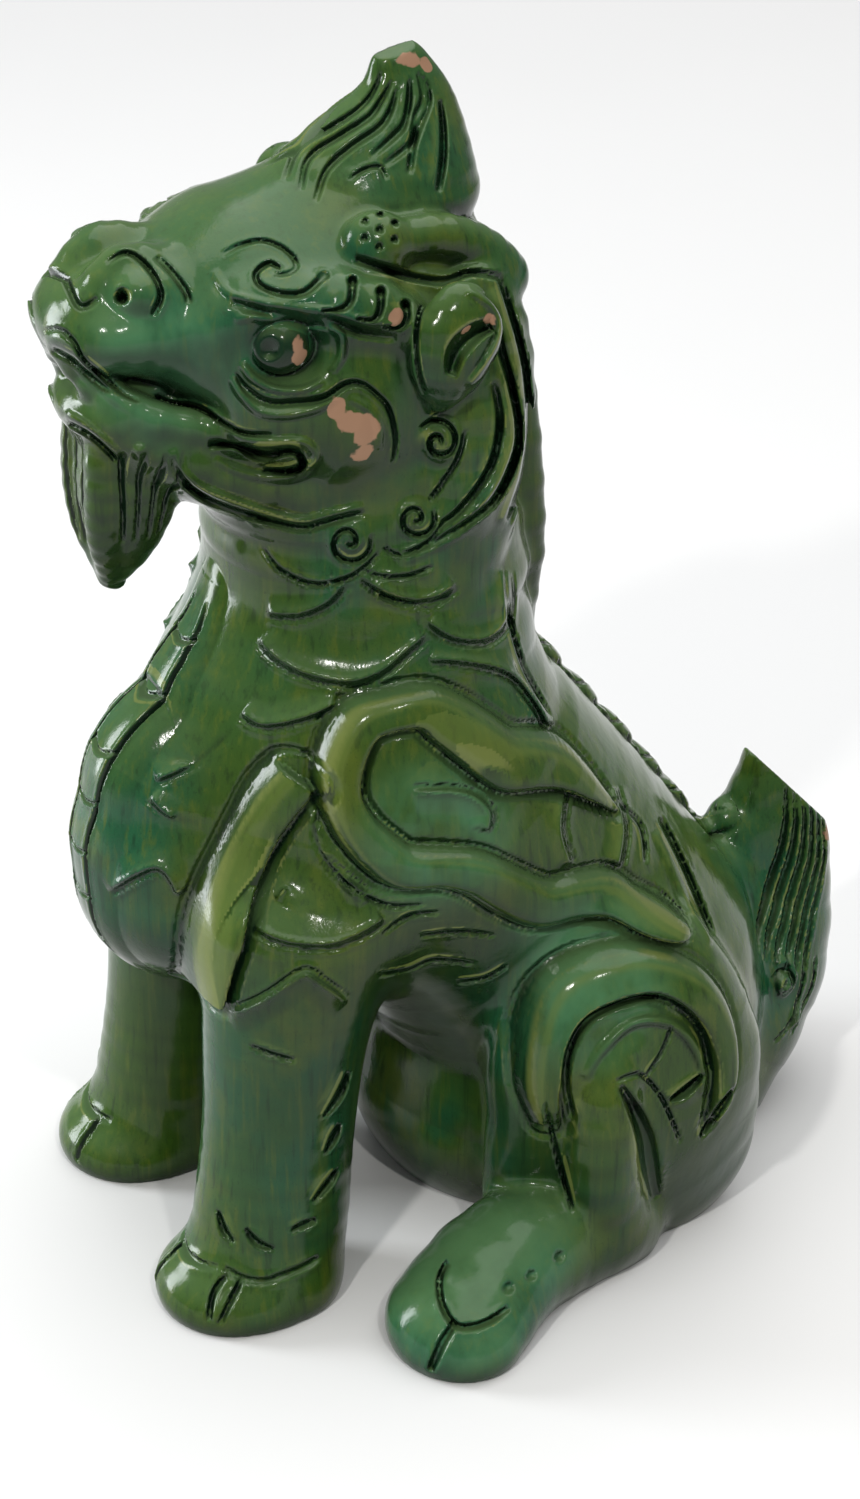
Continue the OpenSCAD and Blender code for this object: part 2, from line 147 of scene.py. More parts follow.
class Mark:
    """A groove, a ridge or a laid-on ribbon along a curve on the surface.

    The curve is projected onto the surface from one side, no deeper than its reach, and it
    acts on both halves of the body. A positive height raises clay and a negative one cuts it.
    width is half the width of the mark. shape is round, flat for a ribbon with a level top, or
    lip for an edge that stands proud on the left of the curve and drops on its right. ends is
    the part of the length over which each end fades out. outline is the depth of the groove
    round a flat ribbon. A single point makes a round dab.
    """

    def __init__(self, path, width, height, view="quarter", piece=None, shape="round",
                 ends=0.25, reach=16, late=False, outline=0.0):
        path = np.asarray(path, float)
        if path.ndim == 1:
            path = np.array([path, path + 0.01])
            ends = 0
        u, v, w = DRAWN_FROM[view]
        count = 2 if len(path) == 2 else 5 * len(path)
        c = curve(path, count)
        self.uv = np.array([u, v])
        self.w = w
        self.c = c @ self.uv.T
        self.depth = c @ w
        self.reach = reach
        width = np.atleast_1d(np.asarray(width, float))
        rows = width[:, None] if len(width) > 1 else np.repeat(width, 2)[:, None]
        self.width = np.maximum(curve(rows, count)[:, 0], 0.3)
        t = np.linspace(0, 1, count)
        fade = np.minimum(t, 1 - t) / max(ends, 1e-6) if ends else np.ones(count)
        self.height = height * np.sqrt(np.clip(fade, 0, 1))
        self.piece, self.shape, self.late, self.outline = piece, shape, late, outline
        pad = self.width.max() + LAP + 2
        self.low, self.high = self.c.min(0) - pad, self.c.max(0) + pad
        spread = np.sqrt(np.clip(1 - w * w, 0, 1)) * pad + np.abs(w) * reach
        self.box_low, self.box_high = c.min(0) - spread, c.max(0) + spread

    def touches(self, half):
        q = half @ self.uv.T
        far = half @ self.w
        inside = ((q > self.low) & (q < self.high)).all(1)
        inside &= (far > self.depth.min() - self.reach) & (far < self.depth.max() + self.reach)
        return np.flatnonzero(inside)

    def act(self, half):
        """Height added at each point, and the distance past the mark's edge."""
        u, v, far = half @ self.uv[0], half @ self.uv[1], half @ self.w
        n = len(u)
        near, width, height = np.full(n, FAR), np.ones(n), np.zeros(n)
        left, off = np.zeros(n, bool), np.zeros(n)
        for k in range(len(self.c) - 1):
            a, ab = self.c[k], self.c[k + 1] - self.c[k]
            ru, rv = u - a[0], v - a[1]
            t = np.clip((ru * ab[0] + rv * ab[1]) / max(ab @ ab, 1e-9), 0, 1)
            d = np.hypot(ru - t * ab[0], rv - t * ab[1])
            w = self.width[k] + t * (self.width[k + 1] - self.width[k])
            nearer = d / w < near / width
            near = np.where(nearer, d, near)
            width = np.where(nearer, w, width)
            rise = self.height[k] + t * (self.height[k + 1] - self.height[k])
            height = np.where(nearer, rise, height)
            left = np.where(nearer, ab[0] * rv - ab[1] * ru > 0, left)
            deep = self.depth[k] + t * (self.depth[k + 1] - self.depth[k])
            off = np.where(nearer, np.abs(far - deep), off)
        x = near / width
        if self.shape == "lip":
            x = np.where(left, x, near / 1.5)
            profile = np.where(left, np.clip(1 - x, 0, 1) ** 1.5, np.clip(1 - x, 0, 1))
        elif self.shape == "flat":
            beyond = np.clip(1 - np.abs(near - width - OUTLINE_AT) / OUTLINE_WIDTH, 0, 1)
            past = near > width
            height = np.where(past, 1.0, height)
            profile = np.where(past, -self.outline * beyond, 1 - np.clip(x, 0, 1) ** 4)
        else:
            profile = (1 - np.clip(x, 0, 1) ** 2) ** 2
        profile = profile * (1 - smooth_step(off, self.reach * 0.7, self.reach))
        return height * profile, np.maximum(near - width, off - self.reach)


MASSES = []
MARKS = []
BREAKS = []


def snap(point, normal, radius):
    """A tip broken off along a plane, no further than the radius from the point."""
    normal = np.asarray(normal, float)
    BREAKS.append((np.asarray(point, float), normal / np.linalg.norm(normal), radius))


def mass(piece, points, radii, blend=8, links=10, late=False):
    MASSES.append(Mass(piece, points, radii, blend, links, 1, late))


def pair(piece, points, radii, blend=8, links=10, late=False):
    """The same mass on both sides. piece is the name without left_ or right_."""
    MASSES.append(Mass("left_" + piece, points, radii, blend, links, 1, late))
    MASSES.append(Mass("right_" + piece, points, radii, blend, links, -1, late))


def twins(piece, points, radii, blend=8, links=10, late=False):
    """Two mirrored masses that belong to one piece on the middle line."""
    for side in (1, -1):
        MASSES.append(Mass(piece, points, radii, blend, links, side, late))


def mark(path, width, height, view="quarter", **more):
    MARKS.append(Mark(path, width, height, view, **more))


def cut(path, width=1.9, depth=2.0, view="quarter", **more):
    """A tooled groove with a low burr along both of its edges."""
    width = np.asarray(width, float)
    mark(path, width * BURR_SPREAD, depth * BURR, view, **more)
    mark(path, width, -depth * (1 + BURR), view, **more)


def spiral(centre, radius, turns, start, view="quarter"):
    """Points on a flat spiral that opens outwards from its centre."""
    u, v, _ = DRAWN_FROM[view]
    t = np.linspace(0.04, 1, int(9 * turns) + 2)
    angle = math.radians(start) + 2 * math.pi * turns * t
    return (np.asarray(centre, float) + np.outer(radius * t * np.cos(angle), u)
            + np.outer(radius * t * np.sin(angle), v))


# ---------------------------------------------------------------- the animal's masses
def lay_up_body():
    mass("trunk", [[0, 108, 34], [0, 112, 80], [0, 98, 114], [0, 66, 158], [0, 36, 190],
                   [0, 14, 216], [0, 16, 250]],
         [[88, 94, 66], [98, 91, 86], [98, 87, 76], [95, 89, 74], [98, 92, 80],
          [99, 92, 84], [82, 64, 56]], 20, 14)
    mass("trunk", [[0, -36, 262], [0, -58, 222], [0, -62, 182]],
         [[24, 24, 38], [46, 51, 50], [54, 52, 50]], 24, 4)
    mass("neck", [[0, 10, 268], [0, 16, 312], [0, 12, 352], [0, 10, 385]],
         [[80, 74, 40], [72, 68, 34], [66, 66, 30], [62, 62, 30]], 22, 6)


def lay_up_head():
    mass("skull", [[0, 12, 418], [0, -32, 430], [0, -68, 437], [0, -97, 438]],
         [[64, 60, 57], [61, 46, 48], [42, 28, 30], [36, 24, 20]], 12, 8)
    mass("skull", [[0, -36, 446], [0, -16, 449]], [[48, 33, 32], [48, 34, 31]], 10, 2)
    twins("skull", [[5, -112, 428], [12, -107, 419], [21, -98, 411], [30, -86, 405], [34, -70, 400],
                    [42, -57, 396]], [5, 6, 6, 6, 6, 5], 5, 8)
    mass("skull", [[-48, -14, 402], [-46, -30, 408]], [[22, 34, 28], [20, 30, 24]], 12, 2)
    mass("skull", [[48, -14, 402], [46, -30, 408]], [[22, 34, 28], [20, 30, 24]], 12, 2)
    mass("lower_jaw", [[0, -8, 366], [0, -48, 376], [0, -80, 392], [0, -95, 402]],
         [[56, 44, 26], [46, 32, 24], [36, 26, 17], [30, 20, 13]], 7, 8)
    mass("beard", [[0, -84, 386], [0, -87, 364], [0, -90, 344], [0, -96, 325]],
         [[26, 22, 12], [22, 21, 14], [15, 15, 14], [4, 6, 5]], 5, 8)
    twins("beard", [[13, -101, 388], [13, -102, 366], [9, -101, 346], [3, -98, 329]],
          [[8, 8, 8], [7, 8, 8], [6, 7, 8], [3, 4, 5]], 3, 8)
    twins("nose", [[13, -76, 457], [13, -89, 457], [13, -99, 449]], [11, 13, 12], 5, 4)
    twins("nose", [[23, -74, 454], [26, -86, 454]], [9, 10], 5, 2)
    mass("tongue", [[0, -66, 408], [0, -90, 412], [0, -99, 414]],
         [[20, 12, 5], [20, 12, 5], [14, 9, 6]], 2, 6, late=True)
    twins("upper_teeth", [[15, -101, 420], [15, -102, 412]], [[5, 4, 6], [3, 3, 3]], 1, 4,
          late=True)
    pair("eye", [[49, -38, 436], [51, -42, 436]], [[12, 12, 12], [12, 12, 12]], 1.0, 2, late=True)
    pair("brow", [[40, -62, 443], [46, -50, 450], [53, -28, 450], [58, -4, 446], [62, 12, 437]],
         [7, 10, 12, 12, 7], 9, 8)


def lay_up_hair():
    pair("ear", [[64, 20, 410], [70, 22, 424], [73, 24, 440], [72, 26, 452]],
         [[10, 8, 8], [12, 16, 13], [10, 17, 12], [6, 9, 5]], 4, 6)
    mass("crest", [[0, 10, 466], [0, 24, 484], [0, 35, 503], [0, 33, 521]],
         [[38, 54, 20], [28, 39, 20], [15, 22, 18], [7, 12, 11]], 8, 8)
    mass("crest", [[0, 42, 470], [0, 38, 490]], [[24, 22, 20], [16, 12, 18]], 8, 4)
    pair("horn", [[42, 14, 466], [40, 32, 464], [36, 50, 454], [32, 61, 440]],
         [8, 9, 10, 13], 5, 8)
    pair("horn", [[44, 3, 466]], [[12, 14, 14]], 5)
    for k in (0, 9, 18):
        pair("mane_band",
             [[54 - 0.6 * k, 36 + 0.8 * k, 444], [58 - 0.8 * k, 40 + 0.9 * k, 418],
              [62 - 0.8 * k, 38 + 0.9 * k, 385 - 0.2 * k], [62 - 0.6 * k, 30 + 0.9 * k, 354 - 0.6 * k],
              [60, 8 + 0.7 * k, 336 - 0.8 * k], [50, -18 + 0.3 * k, 334 - 0.8 * k]],
             [[6, 8, 8], [9, 14, 12], [10, 15, 12], [10, 13, 12], [9, 10, 10], [6, 6, 6]], 6, 12)
    for s in (-2, -1, 0, 1, 2):
        mass("nape_mane",
             [[11 * s, 56, 452], [12 * s, 66, 424], [13 * s, 72, 384], [13 * s, 76, 345],
              [12 * s, 79, 310], [9 * s, 83, 274]],
             [[7, 7, 8], [8, 9, 9], [8, 10, 9], [8, 10, 9], [7, 9, 8], [3, 3, 5]], 4, 10)


def lay_up_legs():
    pair("front_leg", [[57, -38, 176], [57, -47, 130], [58, -52, 84], [60, -58, 34]],
         [[38, 44, 36], [34, 36, 30], [31, 33, 28], [32, 34, 26]], 16, 14)
    pair("front_paw", [[62, -58, 8], [62, -72, 8], [62, -80, 7]],
         [[34, 30, 24], [36, 33, 24], [34, 31, 20]], 15, 4)
    pair("haunch", [[86, 100, 36], [90, 99, 78], [90, 93, 98]],
         [[27, 67, 52], [35, 65, 68], [34, 60, 70]], 12, 4)
    pair("shank", [[112, 82, 112], [118, 73, 84], [118, 73, 52], [112, 80, 22]],
         [[14, 16, 15], [15, 15, 18], [16, 16, 20], [17, 20, 20]], 3, 8)
    pair("hind_foot", [[104, 90, 12], [109, 64, 18], [116, 28, 18], [133, -3, 9]],
         [[18, 20, 22], [22, 24, 27], [29, 28, 29], [34, 30, 24]], 8, 8)


def lay_up_tail():
    mass("tail", [[0, 174, 30], [0, 204, 62], [0, 223, 100], [0, 225, 134], [0, 218, 166]],
         [[57, 53, 50], [41, 46, 46], [28, 28, 34], [22, 21, 28], [11, 12, 14]], 10, 8)
    mass("tail", [[0, 188, 96], [0, 205, 128], [0, 215, 154]], [[24, 22, 30], [17, 17, 24], [9, 10, 12]],
         10, 4)


# ---------------------------------------------------------------- marks on the head
def dress_brow():
    cut([[55, -43, 470], [50, -45, 470], [52, -51, 468], [57, -51, 464], [62, -44, 461],
         [65, -36, 462], [64, -28, 468]], [1.2, 1.6, 1.8, 1.8, 2.0, 2.2, 2.4], 2.4, ends=0)
    cut([[57, -46, 468], [59, -41, 469], [56, -36, 471], [38, -33, 468], [33, -40, 471],
         [31, -48, 470], [30, -56, 467]], 1.5, 1.8)
    tufts = [[[66, -17, 464], [69, -19, 457], [68, -23, 453], [65, -29, 452]],
             [[68, -6, 458], [70, -7, 452], [68, -9, 446], [62, -13, 444]],
             [[69, 4, 451], [70, 4, 446], [68, 2, 441], [63, -2, 439]]]
    for tuft in tufts:
        cut(tuft, [2.4, 2.2, 1.6, 0.8], 2.6, ends=0)
        mark(tuft[0], 3.0, -2.2)
    mark([64, -28, 468], 3.0, -2.2)
    edge = [[50, -61, 456], [58, -51, 453], [61, -38, 449], [60, -24, 444], [61, -10, 438],
            [67, 2, 437]]
    mark(edge, 3.2, -3.2)
    mark([[34, -61, 463]] + [[x, y, z + 4] for x, y, z in edge], 2.6, 1.6)


def dress_eye():
    mark([61, -41, 436], 19, -9)
    mark([[52, -60, 449], [56, -51, 450], [60, -38, 449], [61, -27, 446], [62, -20, 439],
          [64, -21, 432], [65, -26, 426]], 2.4, 2.2)
    mark([[52, -58, 431], [56, -54, 425], [60, -47, 421], [64, -37, 421], [65, -29, 424]], 2.4, 2.6)
    mark([60, -49, 438], 5.2, -3.4, late=True)
    cut([[51, -60, 427], [55, -56, 420], [60, -50, 416], [64, -41, 416], [67, -30, 417],
         [67, -21, 421], [67, -14, 420], [69, -8, 415], [69, -3, 408], [68, 0, 395],
         [65, 0, 383]], [1.2, 2.2, 2.4, 2.4, 2.2, 2.0, 1.8, 1.6, 1.6, 1.4, 1.0], 2.6)
    mark([[50, -61, 425], [53, -59, 419], [59, -53, 412], [64, -43, 411], [67, -33, 413],
          [67, -25, 416]], 2.2, 1.8)
    mark([[68, -20, 416], [70, -12, 410], [70, -8, 402], [69, -8, 392]], 2.4, 1.2)


def dress_mouth():
    upper = [[6, -121, 438], [17, -118, 442], [24, -115, 439], [26, -112, 432], [27, -105, 424],
             [24, -97, 415], [20, -87, 406]]
    lower = [[8, -119, 431], [16, -113, 428], [18, -107, 421], [14, -98, 411], [18, -88, 404]]
    cut(upper, 1.4, 1.6)
    mark([[a[0], a[1], a[2] - 4] for a in upper], 4.0, 1.6)
    mark(lower, 2.0, -2.0)
    corner = [[24, -65, 397], [31, -57, 394], [50, -56, 397], [60, -48, 399], [65, -38, 399],
              [66, -33, 393], [58, -33, 384], [49, -38, 377], [45, -48, 378], [42, -58, 382],
              [39, -65, 387]]
    cut([[-2, -81, 406], [13, -75, 402], [25, -65, 402], [38, -59, 399], [52, -57, 401],
         [61, -49, 403]], 1.5, 1.8)
    mark(corner, 2.6, 2.0)
    cut([[35, -66, 391], [36, -55, 389], [53, -51, 392], [62, -41, 395], [62, -37, 389],
         [50, -37, 380], [44, -47, 380]], [2.6, 2.8, 2.8, 2.4, 2.2, 2.0, 1.6], 3.4)
    jaw = [[35, -81, 392], [38, -78, 383], [39, -69, 374], [41, -55, 366], [43, -41, 359],
           [50, -32, 358], [55, -23, 361], [61, -10, 365]]
    cut([[a[0], a[1], a[2] - 3] for a in jaw], 2.2, 2.8)
    mark(jaw, 2.6, 2.0)
    mark([33, -94, 393], 3.4, 2.0)


def dress_nose():
    mark([30, -93, 458], 11, 2.5)
    cut([[17, -98, 466], [18, -90, 469], [29, -86, 467], [37, -84, 459], [37, -88, 450]], 1.8, 2.4)
    mark([30, -97, 457], 3.8, -7)
    mark([[-8, -109, 460], [8, -110, 454], [20, -110, 451], [23, -104, 455]], 2.2, -2.4)
    cut([[22, -80, 468], [31, -77, 464], [35, -73, 457], [36, -72, 452]], 2.2, 1.8)


def dress_ear():
    mark([[80, 36, 441], [82, 27, 440], [83, 19, 434], [82, 17, 424]], [3, 4.5, 5, 3], -6)
    mark([[77, 26, 456], [80, 36, 448], [81, 39, 438], [80, 34, 426], [79, 26, 416]], 2.6, 2.2)
    cut([[62, 14, 446], [70, 8, 436], [72, 8, 424], [70, 12, 412]], 1.4, 1.4)


def dress_horn():
    cut([[30, 14, 487], [25, 13, 490], [23, 7, 489], [23, 1, 486]], 1.5, 1.6)
    u, v, _ = DRAWN_FROM["quarter"]
    hub = np.array([54, 0, 477.0])
    mark(hub, 2.2, -2.6)
    for k in range(6):
        a = k * math.pi / 3 + 0.5
        mark(hub + 6.6 * (math.cos(a) * u + math.sin(a) * v), 2.0, -2.4)
    top = curve([[32, 21, 479], [32, 30, 477], [34, 37, 474], [44, 40, 472], [48, 43, 466]], 9)
    bottom = curve([[42, 20, 476], [48, 26, 474], [50, 31, 468], [50, 37, 463], [48, 42, 457]], 9)
    for a, b in zip(top, bottom):
        cut([(a + b) / 2, b], 1.5, 1.8, ends=0.3)
    cut([[54, -11, 467], [58, -1, 463], [54, 12, 456], [60, 24, 455], [56, 38, 454],
         [46, 57, 444]], 2.4, 3.0)


def dress_crest():
    strands = [[[5, -18, 482], [-5, -8, 491], [3, 0, 500], [8, 10, 508], [7, 18, 514], [6, 23, 522]],
               [[15, -16, 481], [5, -8, 490], [10, 2, 499], [12, 14, 506], [11, 20, 512], [9, 26, 519]],
               [[22, -13, 478], [15, -5, 488], [16, 4, 496], [16, 17, 503], [14, 23, 509],
                [11, 27, 516]],
               [[21, 11, 493], [20, 20, 499], [18, 27, 504], [14, 31, 512], [10, 33, 519]],
               [[24, 15, 490], [22, 28, 497], [17, 32, 505], [14, 37, 512], [9, 37, 521]],
               [[27, 25, 486], [22, 29, 496], [18, 34, 503], [13, 40, 511], [9, 39, 519]],
               [[30, 36, 478], [26, 40, 490], [20, 43, 500], [13, 45, 510]]]
    for strand in strands:
        cut(strand, [2.0, 2.3, 2.3, 2.0, 1.4], 2.2)


def break_tips():
    snap([0, 29, 528], [0.25, -0.25, 1], 18)
    snap([0, 211, 170], [0, 1.1, 1], 75)


def dress_beard():
    for k in range(4):
        cut([[24, -98 + 7 * k, 392], [20, -97 + 6 * k, 368], [13, -96 + 5 * k, 346]], 1.5, 1.5, "side")
    for x in (4, 10):
        cut([[x, -108, 394], [x, -106, 368], [0.6 * x, -100, 340]], 1.4, 1.3, "front")
    cut([[13, -116, 402], [23, -111, 400], [27, -107, 396], [28, -102, 389]], 1.6, 2.2)
    mark([[12, -117, 406], [23, -112, 404], [28, -107, 399], [30, -101, 392]], 2.2, 1.6)


def dress_mane():
    inner = [[80, 30, 440], [69, 42, 412], [71, 44, 397], [72, 41, 381], [73, 34, 370], [71, 25, 359],
             [69, 18, 354]]
    outer = [[62, 46, 438], [65, 47, 424], [66, 52, 405], [64, 56, 384], [66, 51, 370], [70, 41, 360],
             [72, 29, 354], [71, 18, 349], [68, 3, 343]]
    nape = [[49, 54, 447], [55, 58, 428], [57, 62, 409], [55, 65, 384], [57, 62, 363], [62, 52, 345]]
    cut(inner[1:], 2.2, 3.2)
    cut(outer, 2.4, 3.6)
    cut(nape, 2.2, 3.0)
    mark([[x + 1, y - 4, z - 1] for x, y, z in outer[1:]], 4.0, 2.0)
    mark([[x + 1, y - 4, z] for x, y, z in nape], 4.0, 1.6)


def dress_curls():
    whorls = [([61, 22, 386], 11, -30), ([67, 9, 358], 10, -150), ([60, -17, 350], 11.5, 200)]
    for centre, radius, start in whorls:
        mark(centre, radius, 3.4, piece="cheek_curls")
        cut(spiral(centre, radius * 0.82, 1.5, start), 1.5, 2.4, ends=0.15)
    cut([[65, 16, 364], [65, 22, 371], [62, 30, 378], [60, 34, 388]], 1.5, 2.0)
    cut([[33, -43, 341], [42, -39, 334], [54, -29, 331], [62, -16, 336], [66, -6, 346]], 1.6, 2.2)
    cut([[63, -13, 338], [67, -5, 335], [70, 6, 335], [70, 15, 337]], 1.5, 2.0)
    cut([[63, -14, 334], [68, -5, 327], [71, 7, 323], [72, 22, 323]], 1.6, 2.2)
    cut([[60, -2, 345], [66, 2, 343], [69, 12, 347], [70, 20, 355]], 1.4, 2.0)


# ---------------------------------------------------------------- marks on the body
def scale_edge(path, width=11, height=3.2):
    """The free edge of an overlapping scale, with its shadow line."""
    mark(path, width, height, shape="lip", ends=0.12)
    cut(path, 2.1, 3.0, ends=0.12)


def dress_neck():
    scale_edge([[38, -49, 303], [47, -47, 299], [60, -39, 295], [72, -24, 293], [77, -11, 297],
                [77, 1, 304], [76, 10, 309]], 14, 3.6)
    scale_edge([[37, -44, 312], [49, -35, 315], [57, -25, 322], [61, -19, 331]])
    scale_edge([[65, -11, 331], [70, 1, 324], [72, 13, 321], [71, 26, 326]])
    scale_edge([[74, 10, 314], [76, 21, 305], [74, 38, 300], [64, 53, 303], [58, 56, 322]], 12, 3.2)
    scale_edge([[51, -63, 278], [60, -57, 275], [69, -43, 279], [75, -28, 286]])
    scale_edge([[81, 8, 300], [81, 23, 296], [78, 45, 285], [76, 58, 268], [74, 66, 253]])
    cut([[59, 53, 323], [63, 53, 305], [70, 57, 283], [69, 70, 256]], 1.6, 1.8)


def dress_chest():
    mark([[0, -62, 308], [0, -80, 282], [0, -104, 248], [0, -114, 208], [0, -114, 172],
          [0, -97, 136]], [15, 20, 25, 25, 23, 20], 2.6, "front", piece="chest_plates",
         shape="flat", ends=0, reach=40)
    cut([[6, -60, 308], [10, -75, 284], [11, -89, 268], [11, -103, 247], [10, -112, 224],
         [9, -115, 204], [9, -113, 180], [10, -104, 150]], 1.8, 3.0, "front", reach=30)
    for k in range(7):
        z = 292 - 22 * k
        cut([[0, -96, z - 2], [5, -96, z - 1], [10, -96, z + 1]], 1.5, 1.2, "front", ends=0, reach=50)


def dress_shoulder():
    loop = [[70, 100, 206], [70, 84, 224], [80, 70, 237], [83, 55, 245], [88, 40, 251],
            [90, 28, 262], [86, 15, 274], [84, 5, 281], [84, -8, 281], [82, -20, 277],
            [82, -28, 264], [86, -31, 249], [92, -27, 235], [99, -18, 223], [102, -10, 217],
            [103, 5, 215], [102, 20, 209], [100, 37, 195], [97, 53, 184], [93, 70, 182],
            [90, 86, 178], [95, 100, 168], [97, 112, 161], [98, 122, 156]]
    mark(loop, [1.5, 6, 9, 11, 12, 12, 11, 9, 8, 8, 8, 8, 9, 10, 10, 9, 10, 11, 11, 10, 9, 7,
                5, 1.5], 7.0, "side", piece="shoulder_flame", shape="flat", ends=0.04, reach=30,
         outline=1.6)
    strand = [[72, -44, 254], [66, -54, 240], [57, -66, 217], [58, -77, 197], [55, -83, 176],
              [48, -84, 152]]
    mark(strand, [8, 8, 8, 7, 6, 2.5], 5.0, "side", piece="shoulder_flame", shape="flat",
         ends=0.03, reach=34, outline=1.6)
    cut([[84, -42, 245], [87, -46, 236], [92, -43, 225], [97, -32, 212], [101, -20, 204],
         [104, -5, 202]], 1.6, 2.0)


def dress_flank():
    scale_edge([[99, 28, 226], [96, 30, 235], [96, 18, 247], [95, -6, 253]])
    scale_edge([[91, 71, 196], [89, 67, 213], [81, 73, 225]])
    scale_edge([[83, 98, 183], [72, 106, 195], [62, 106, 210]])
    cut([[73, 115, 184], [64, 130, 177]], [2.4, 1.8], 2.6)
    cut([[56, 131, 186], [67, 139, 163], [83, 145, 136]], 2.2, 2.4)
    mark([[62, 126, 184], [74, 132, 162], [90, 138, 138]], 4, 2.0)
    cut([[78, 95, 215], [74, 112, 196], [80, 112, 180]], 1.6, 1.6)
    scale_edge([[38, -95, 247], [49, -82, 258], [53, -69, 270]])
    scale_edge([[58, -67, 267], [69, -63, 260]], 8, 2.8)
    scale_edge([[37, -99, 240], [50, -95, 235], [64, -85, 229]])
    scale_edge([[22, -111, 190], [48, -101, 212], [56, -96, 202]])
    for path in ([[97, -23, 169], [94, -7, 165], [94, 5, 167], [92, 25, 159]],
                 [[86, 19, 148], [88, 31, 148], [93, 39, 155]],
                 [[100, -22, 190], [102, -11, 197], [103, 3, 196]],
                 [[102, -6, 186], [102, 14, 183], [100, 30, 176]]):
        cut(path, 1.5, 1.6)


def dress_front_leg():
    scale_edge([[100, -26, 210], [97, -36, 220], [92, -46, 228], [88, -56, 222], [84, -64, 210]])
    scale_edge([[82, -72, 195], [90, -61, 190], [97, -44, 188], [99, -30, 191], [100, -20, 196]],
               14, 3.6)
    scale_edge([[96, -35, 160], [96, -46, 172], [94, -55, 178], [86, -70, 165], [73, -81, 153]])
    cut([[81, -74, 139], [87, -66, 136], [91, -58, 133]], 1.6, 1.8)
    strokes = [[[72, -87, 53], [76, -86, 45], [81, -84, 41]],
               [[85, -80, 50], [88, -76, 43], [92, -70, 40]],
               [[94, -63, 49], [94, -57, 50], [94, -51, 51]],
               [[93, -52, 60], [92, -45, 66], [90, -39, 71]],
               [[91, -45, 82], [91, -41, 89], [90, -38, 94]],
               [[92, -46, 101], [91, -38, 110], [89, -33, 119]]]
    for stroke in strokes:
        cut(stroke, [1.2, 2.6, 1.4], 2.6)


def dress_front_paw():
    cuff = [[79, -88, 28], [87, -83, 26], [92, -75, 25], [94, -67, 27], [95, -58, 29], [94, -50, 31]]
    cut(cuff, 2.4, 1.4, ends=0.1)
    cut([[45, -92, 27], [62, -94, 26], [79, -88, 28]], 2.2, 1.2, "front", reach=30)
    cut([[82, -88, 26], [84, -95, 20], [88, -99, 9]], 2.0, 2.4)
    cut([[87, -83, 26], [91, -90, 19], [92, -96, 9]], 2.0, 2.4)
    cut([[52, -96, 26], [50, -104, 14], [50, -106, 6]], 2.0, 2.4, "front", reach=30)


def dress_haunch():
    mark([[110, 49, 84], [106, 46, 104], [107, 51, 128], [109, 62, 145], [111, 82, 150],
          [113, 99, 147], [115, 115, 136], [118, 126, 122], [119, 131, 106], [121, 131, 88],
          [123, 124, 68]], [5, 7, 9, 11, 11, 10, 10, 9, 8, 7, 3], 6.5, "side",
         piece="haunch_ring", shape="flat", ends=0.06, reach=30, outline=1.4)
    cut([[120, 58, 88], [117, 56, 103], [115, 58, 120], [115, 66, 133], [117, 82, 139], [118, 98, 138],
         [119, 112, 127], [120, 121, 112], [122, 122, 96]], 2.6, 4.0)
    mark([[121, 62, 108], [121, 70, 120], [120, 85, 129], [121, 101, 126], [121, 113, 114],
          [121, 120, 98], [123, 120, 84]], 3.2, 2.6)
    cut([[121, 104, 124], [124, 98, 114], [127, 89, 105]], 1.3, 1.6)
    cut([[127, 74, 107], [128, 85, 108], [127, 96, 94], [127, 103, 78], [126, 108, 64]], 1.5, 2.0)
    cut([[124, 119, 96], [126, 109, 91], [127, 101, 89]], [1.6, 3.4, 1.4], 4.6)
    cut([[119, 137, 82], [122, 127, 73], [124, 119, 62]], [1.4, 2.8, 1.4], 3.6)


def dress_shank():
    cut([[126, 77, 104], [130, 82, 92], [131, 88, 76], [130, 92, 58], [126, 98, 36]],
        [2, 4, 5, 5, 3], 5.0)
    cut([[114, 47, 97], [117, 50, 81], [122, 53, 61], [126, 56, 44]], 1.6, 1.8)


def dress_hind_foot():
    cut([[120, -1, 33], [129, -9, 31], [143, -14, 28], [154, -13, 25], [158, -7, 25],
         [158, 2, 26], [156, 11, 28]], 2.2, 3.0, ends=0.15)
    cut([[153, 4, 30], [156, 9, 29]], 1.6, 2.2)
    cut([[153, -14, 25], [155, -20, 19], [155, -25, 8]], [2.4, 3.0, 2.6], 2.8, ends=0)
    for point in ([148, 25, 34], [143, 41, 35], [150, 13, 33]):
        mark(point, 3.4, -2.2)
    cut([[137, -3, 34], [144, -5, 31]], 2.6, 2.2)
    cut([[144, 4, 33], [149, 1, 31]], 2.6, 2.2)


def dress_back():
    for x, y, z in curve([[0, 92, 262], [0, 112, 232], [0, 132, 204], [0, 152, 178], [0, 166, 156]], 6):
        mark([[0, y - 4, z + 8], [0, y + 4, z - 8]], 12, 1.8, "back", piece="spine_plates",
             shape="flat", ends=0, reach=30, outline=1.2)
        cut([[9, y, z + 7], [11, y, z - 3], [0, y, z - 11]], 1.4, 1.8, "back", ends=0, reach=30)


